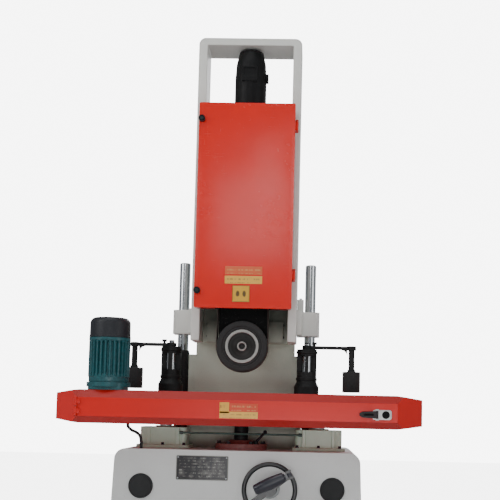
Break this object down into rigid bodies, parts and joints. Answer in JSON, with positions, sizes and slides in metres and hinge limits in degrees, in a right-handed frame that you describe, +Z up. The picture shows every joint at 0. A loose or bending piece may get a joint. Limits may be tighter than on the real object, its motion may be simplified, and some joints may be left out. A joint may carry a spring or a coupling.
{
  "type": "surface grinder",
  "caption": "Belt surface grinder: grey base, long red feed table with a motor, posts with guide rollers, and a tall sliding head with a red door over the abrasive belt.",
  "frame": {"origin": "on the floor, at the middle of the anchor holes, in the plane of the guide columns", "axes": "+X along the table to the operator's right, +Y from the front to the back, +Z up"},
  "size_m": [1.4, 0.867, 2.36],
  "materials": {
    "base_paint": "light grey machine enamel, satin",
    "portal_paint": "light grey enamel, satin",
    "column_paint": "grey enamel, satin",
    "support_paint": "greenish grey enamel, satin",
    "door_red": "bright red gloss enamel",
    "casing_red": "red gloss enamel",
    "guard_red": "red enamel",
    "flange_red": "dark red enamel, satin",
    "motor_teal": "teal enamel over a cast finned body",
    "motor_black": "black enamel",
    "main_motor_paint": "blue grey enamel",
    "cap_black": "black, fine grain",
    "cast_grey": "machined grey iron",
    "dark_iron": "black oxide",
    "steel": "ground",
    "chrome": "hard chrome, polished",
    "bolt_black": "black oxide",
    "alu": "turned",
    "tyre_rubber": "hard contact wheel rubber",
    "belt_rubber": "feed belt, fine weave",
    "abrasive": "abrasive grain on cloth",
    "black_rubber": "moulded rubber",
    "grip_plastic": "dark navy phenolic",
    "wheel_plastic": "black phenolic",
    "bronze": "cast bronze",
    "plate_metal": "black anodised",
    "latch_metal": "zinc plated",
    "line_plastic": "green nylon tube",
    "cable_plastic": "black cable sheath"
  },
  "bodies": {
    "base": {"base_housing": "base_paint", "base_foot": "base_paint", "hole_covers": "black_rubber", "data_plate": "plate_metal", "column_body": "column_paint", "guide_columns": "chrome", "column_sleeves": "black_rubber", "lift_gearbox": "cast_grey", "table_supports": "support_paint", "frame_bolts": "bolt_black", "grease_line": "line_plastic", "jack_flange": "flange_red", "handwheel_bearing": "cast_grey", "jack_frame": "cast_grey"},
    "rear_door": {"rear_door": "base_paint"},
    "lift_screw": {"lift_screw": "steel"},
    "lock_lever": {"lock_lever": "dark_iron"},
    "jack_nut": {"worm_wheel": "bronze"},
    "handwheel": {"handwheel": "wheel_plastic", "worm_shaft": "steel"},
    "grip": {"folding_grip": "grip_plastic"},
    "table": {"table_casing": "casing_red", "table_frame": "cast_grey", "table_rods": "chrome", "jack_screw": "dark_iron", "feed_belt": "belt_rubber", "feed_gearbox": "motor_teal", "feed_motor": "motor_teal", "feed_motor_cap": "cap_black", "feed_cable": "cable_plastic", "lantern_posts": "dark_iron"},
    "drive_drum": {"drive_drum": "steel"},
    "idle_drum": {"idle_drum": "steel"},
    "front_cover": {"front_cover": "casing_red", "latch_plate": "casing_red"},
    "latch_lever": {"latch_lever": "latch_metal"},
    "post_rod_left": {"post_rod_left": "chrome"},
    "post_rod_right": {"post_rod_right": "chrome"},
    "arm_left": {"arm_left": "dark_iron"},
    "arm_right": {"arm_right": "dark_iron"},
    "roller_rod_left": {"roller_rod_left": "dark_iron"},
    "roller_rod_right": {"roller_rod_right": "dark_iron"},
    "roller_left": {"guide_roller_left": "black_rubber"},
    "roller_right": {"guide_roller_right": "black_rubber"},
    "head": {"portal_frame": "portal_paint", "head_plate": "column_paint", "guide_ears": "portal_paint", "guard_box": "guard_red", "spindle_housing": "cast_grey", "lift_bracket": "column_paint", "tension_unit": "motor_black", "abrasive_belt": "abrasive"},
    "belt_door": {"belt_door": "door_red"},
    "knob_upper": {"door_knob_upper": "cap_black"},
    "knob_lower": {"door_knob_lower": "cap_black"},
    "contact_wheel": {"wheel_tyre": "tyre_rubber", "wheel_hub": "alu"},
    "tension": {"tension_carriage": "cast_grey", "main_motor": "main_motor_paint"},
    "drive_pulley": {"drive_pulley": "alu"}
  },
  "joints": [
    {"name": "table_lift", "type": "slide", "parent": "base", "child": "table", "axis": [0, 0, 1], "range_m": [0, 0.045]},
    {"name": "handwheel_turn", "type": "hinge", "parent": "base", "child": "handwheel", "pos_m": [0.129, -0.418, 0.544], "axis": [0, -1, 0], "range_deg": [-5, 8110]},
    {"name": "jack_nut_turn", "type": "hinge", "parent": "base", "child": "jack_nut", "pos_m": [0, -0.15, 0.544], "axis": [0, 0, 1], "range_deg": [-5, 1630]},
    {"name": "grip_fold", "type": "hinge", "parent": "handwheel", "child": "grip", "pos_m": [0.202, -0.456, 0.604], "axis": [-0.4226, 0, 0.9063], "range_deg": [0, 90]},
    {"name": "lift_screw_turn", "type": "hinge", "parent": "base", "child": "lift_screw", "pos_m": [0, 0.09, 0.7], "axis": [0, 0, 1], "range_deg": [-1510, 9010]},
    {"name": "head_slide", "type": "slide", "parent": "base", "child": "head", "axis": [0, 0, 1], "range_m": [-0.025, 0.15]},
    {"name": "lock_lever_turn", "type": "hinge", "parent": "base", "child": "lock_lever", "pos_m": [0.062, -0.212, 0.705], "axis": [0, 0, 1], "range_deg": [-70, 25]},
    {"name": "rear_door_swing", "type": "hinge", "parent": "base", "child": "rear_door", "pos_m": [-0.224, 0.357, 0.34], "axis": [0, 0, 1], "range_deg": [0, 120]},
    {"name": "drive_drum_spin", "type": "hinge", "parent": "table", "child": "drive_drum", "pos_m": [-0.501, -0.215, 0.851], "axis": [0, 1, 0], "continuous": true},
    {"name": "idle_drum_spin", "type": "hinge", "parent": "table", "child": "idle_drum", "pos_m": [0.56, -0.215, 0.851], "axis": [0, 1, 0], "continuous": true},
    {"name": "front_cover_swing", "type": "hinge", "parent": "table", "child": "front_cover", "pos_m": [-0.6015, -0.4455, 0.84], "axis": [0, 0, -1], "range_deg": [0, 95]},
    {"name": "latch_lever_swing", "type": "hinge", "parent": "front_cover", "child": "latch_lever", "pos_m": [0.522, -0.449, 0.831], "axis": [0, 0, 1], "range_deg": [0, 70]},
    {"name": "belt_door_swing", "type": "hinge", "parent": "head", "child": "belt_door", "pos_m": [0.199, -0.2623, 1.65], "axis": [0, 0, 1], "range_deg": [0, 110]},
    {"name": "knob_upper_turn", "type": "hinge", "parent": "belt_door", "child": "knob_upper", "pos_m": [-0.18, -0.276, 1.992], "axis": [0, -1, 0], "range_deg": [0, 90]},
    {"name": "knob_lower_turn", "type": "hinge", "parent": "belt_door", "child": "knob_lower", "pos_m": [-0.18, -0.276, 1.303], "axis": [0, -1, 0], "range_deg": [0, 90]},
    {"name": "contact_wheel_spin", "type": "hinge", "parent": "head", "child": "contact_wheel", "pos_m": [0, -0.224, 1.088], "axis": [0, 1, 0], "continuous": true},
    {"name": "tension_slide", "type": "slide", "parent": "head", "child": "tension", "axis": [0, 0, 1], "range_m": [-0.025, 0]},
    {"name": "drive_pulley_spin", "type": "hinge", "parent": "tension", "child": "drive_pulley", "pos_m": [0, -0.224, 1.9], "axis": [0, 1, 0], "continuous": true},
    {"name": "post_rod_left_lift", "type": "slide", "parent": "table", "child": "post_rod_left", "axis": [0, 0, 1], "range_m": [0, 0.02]},
    {"name": "arm_left_swivel", "type": "hinge", "parent": "post_rod_left", "child": "arm_left", "pos_m": [-0.295, -0.12, 1.096], "axis": [0, 0, 1], "range_deg": [-45, 90]},
    {"name": "roller_rod_left_slide", "type": "slide", "parent": "arm_left", "child": "roller_rod_left", "axis": [0, 0, 1], "range_m": [-0.01, 0.06]},
    {"name": "guide_roller_left_spin", "type": "hinge", "parent": "roller_rod_left", "child": "roller_left", "pos_m": [-0.445, -0.12, 0.96], "axis": [0, 0, 1], "continuous": true},
    {"name": "post_rod_right_lift", "type": "slide", "parent": "table", "child": "post_rod_right", "axis": [0, 0, 1], "range_m": [0, 0.02]},
    {"name": "arm_right_swivel", "type": "hinge", "parent": "post_rod_right", "child": "arm_right", "pos_m": [0.256, -0.12, 1.096], "axis": [0, 0, 1], "range_deg": [-90, 45]},
    {"name": "roller_rod_right_slide", "type": "slide", "parent": "arm_right", "child": "roller_rod_right", "axis": [0, 0, 1], "range_m": [-0.01, 0.06]},
    {"name": "guide_roller_right_spin", "type": "hinge", "parent": "roller_rod_right", "child": "roller_right", "pos_m": [0.437, -0.12, 0.96], "axis": [0, 0, 1], "continuous": true}
  ],
  "couplings": [
    {"joint": "handwheel_turn", "follows": "table_lift", "rad_per_m": 3141.6},
    {"joint": "jack_nut_turn", "follows": "table_lift", "rad_per_m": 628.32},
    {"joint": "lift_screw_turn", "follows": "head_slide", "rad_per_m": 1047.2},
    {"joint": "drive_pulley_spin", "follows": "contact_wheel_spin", "ratio": 1.1111},
    {"joint": "idle_drum_spin", "follows": "drive_drum_spin", "ratio": 1}
  ]
}
